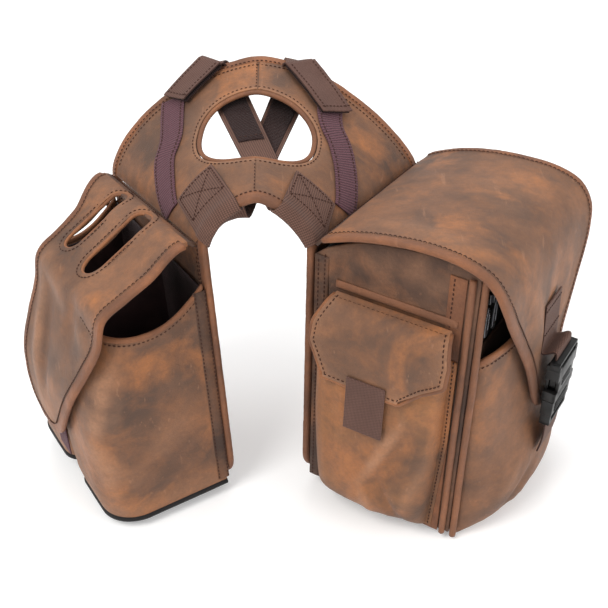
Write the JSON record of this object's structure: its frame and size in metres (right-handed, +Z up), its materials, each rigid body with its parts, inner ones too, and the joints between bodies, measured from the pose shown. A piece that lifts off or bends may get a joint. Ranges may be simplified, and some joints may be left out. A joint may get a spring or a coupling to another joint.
{
  "type": "saddle horn bag",
  "caption": "Leather saddle horn bag: a yoke with a horn hole joins a bottle bag on the left to a flapped, buckled main bag with a zipped insert on the right.",
  "frame": {"origin": "middle of the horn hole, on the crown of the yoke", "axes": "+X from the bottle bag to the main bag, the longest extent; +Y from the yoke's narrow edge to its wide edge; +Z up"},
  "size_m": [0.5259, 0.3032, 0.3579],
  "materials": {
    "leather": "distressed oiled leather, matt with worn orange-tan patches",
    "binding": "smoother tan leather edging",
    "webbing": "ribbed brown webbing",
    "loop_tape": "purple-brown loop tape",
    "lining": "dark brown lining and hook tape",
    "black_nylon": "black woven nylon",
    "buckle_plastic": "satin black moulding",
    "zinc": "dark nickel finish"
  },
  "bodies": {
    "root": {"back_panel_left": "leather", "back_panel_right": "leather", "bottle_base_far": "black_nylon", "bottle_base_near": "black_nylon", "bottle_liner_far": "lining", "bottle_liner_near": "lining", "bottle_pocket_far": "leather", "bottle_pocket_near": "leather", "bottom_panel": "leather", "far_edge_binding": "binding", "fork_strap_left": "webbing", "fork_strap_right": "webbing", "front_panel": "leather", "front_pocket": "leather", "gusset_far": "leather", "gusset_near": "leather", "gusset_piping_far": "binding", "gusset_piping_near": "binding", "horn_hole_binding": "binding", "insert_body": "black_nylon", "left_flap_root": "leather", "left_loop_patch": "loop_tape", "loop_strip_left": "loop_tape", "loop_strip_right": "loop_tape", "lower_buckle_strap": "webbing", "near_edge_binding": "binding", "phone_hood": "leather", "phone_loop_patch": "loop_tape", "phone_pocket": "leather", "right_flap_root": "leather", "seam_binding_far": "binding", "seam_binding_near": "binding", "strap_patch_left": "webbing", "strap_patch_right": "webbing", "yoke_leather_left": "leather", "yoke_leather_right": "leather", "yoke_lining": "lining", "zipper_tape": "black_nylon"},
    "left_flap": {"left_flap": "leather", "left_flap_binding": "binding", "left_hook_patch": "lining"},
    "right_flap": {"right_flap": "leather", "right_flap_binding": "binding", "upper_buckle_strap": "webbing", "buckle_female": "buckle_plastic"},
    "insert_lid": {"insert_lid": "black_nylon"},
    "phone_flap": {"phone_flap": "leather", "phone_tab": "webbing"},
    "zipper_slider_near": {"zipper_slider_near": "zinc"},
    "zipper_pull_near": {"zipper_pull_near": "zinc"},
    "zipper_slider_far": {"zipper_slider_far": "zinc"},
    "zipper_pull_far": {"zipper_pull_far": "zinc"},
    "buckle_male": {"buckle_male": "buckle_plastic"},
    "buckle_prong_left": {"buckle_prong_left": "buckle_plastic"},
    "buckle_prong_right": {"buckle_prong_right": "buckle_plastic"},
    "strap_end_left": {"strap_end_left": "webbing", "hook_pad_left": "lining"},
    "strap_end_right": {"strap_end_right": "webbing", "hook_pad_right": "lining"}
  },
  "joints": [
    {"name": "left_flap_hinge", "type": "hinge", "parent": "root", "child": "left_flap", "pos_m": [-0.05431, -0.10998, -0.05372], "axis": [-0.5109, 0.8565, -0.0739], "range_deg": [0, 105]},
    {"name": "right_flap_hinge", "type": "hinge", "parent": "root", "child": "right_flap", "pos_m": [0.05471, -0.11022, -0.0516], "axis": [-0.5084, -0.8579, 0.0738], "range_deg": [0, 100]},
    {"name": "insert_lid_hinge", "type": "hinge", "parent": "root", "child": "insert_lid", "pos_m": [0.05173, -0.10843, -0.06742], "axis": [-0.5084, -0.8579, 0.0738], "range_deg": [0, 30]},
    {"name": "phone_flap_hinge", "type": "hinge", "parent": "root", "child": "phone_flap", "pos_m": [0.04196, -0.10783, -0.09494], "axis": [-0.8564, 0.5128, 0.061], "range_deg": [0, 110]},
    {"name": "zipper_near_slide", "type": "slide", "parent": "root", "child": "zipper_slider_near", "axis": [-0.5084, -0.8579, 0.0738], "range_m": [0, 0.006]},
    {"name": "zipper_far_slide", "type": "slide", "parent": "root", "child": "zipper_slider_far", "axis": [0.5084, 0.8579, -0.0738], "range_m": [0, 0.13]},
    {"name": "zipper_near_pull_hinge", "type": "hinge", "parent": "zipper_slider_near", "child": "zipper_pull_near", "pos_m": [0.18173, -0.16762, -0.0843], "axis": [-0.5137, -0.858, 0], "range_deg": [0, 40]},
    {"name": "zipper_far_pull_hinge", "type": "hinge", "parent": "zipper_slider_far", "child": "zipper_pull_far", "pos_m": [0.18988, -0.15385, -0.08549], "axis": [-0.5137, -0.858, 0], "range_deg": [0, 40]},
    {"name": "buckle_release", "type": "slide", "parent": "root", "child": "buckle_male", "axis": [-0.0524, 0.0314, -0.9981], "range_m": [0, 0.033], "deforming": ["lower_buckle_strap"]},
    {"name": "buckle_prong_left_hinge", "type": "hinge", "parent": "buckle_male", "child": "buckle_prong_left", "pos_m": [0.24918, -0.12782, -0.20633], "axis": [-0.8564, 0.5128, 0.061], "range_deg": [0, 5], "stiffness_Nm_per_rad": 0.02},
    {"name": "buckle_prong_right_hinge", "type": "hinge", "parent": "buckle_male", "child": "buckle_prong_right", "pos_m": [0.25863, -0.11203, -0.20633], "axis": [0.8564, -0.5128, -0.061], "range_deg": [0, 5], "stiffness_Nm_per_rad": 0.02},
    {"name": "strap_end_left_peel", "type": "hinge", "parent": "root", "child": "strap_end_left", "pos_m": [-0.043, 0.092, 0.02253], "axis": [-0.7029, 0.7112, -0.0127], "range_deg": [0, 80]},
    {"name": "strap_end_right_peel", "type": "hinge", "parent": "root", "child": "strap_end_right", "pos_m": [0.036, 0.085, 0.02111], "axis": [-0.7864, -0.6081, 0.1086], "range_deg": [0, 80]}
  ],
  "couplings": [
    {"joint": "insert_lid_hinge", "follows": "right_flap_hinge", "ratio": 0.3},
    {"joint": "buckle_prong_left_hinge", "follows": "buckle_prong_right_hinge", "ratio": 1}
  ]
}
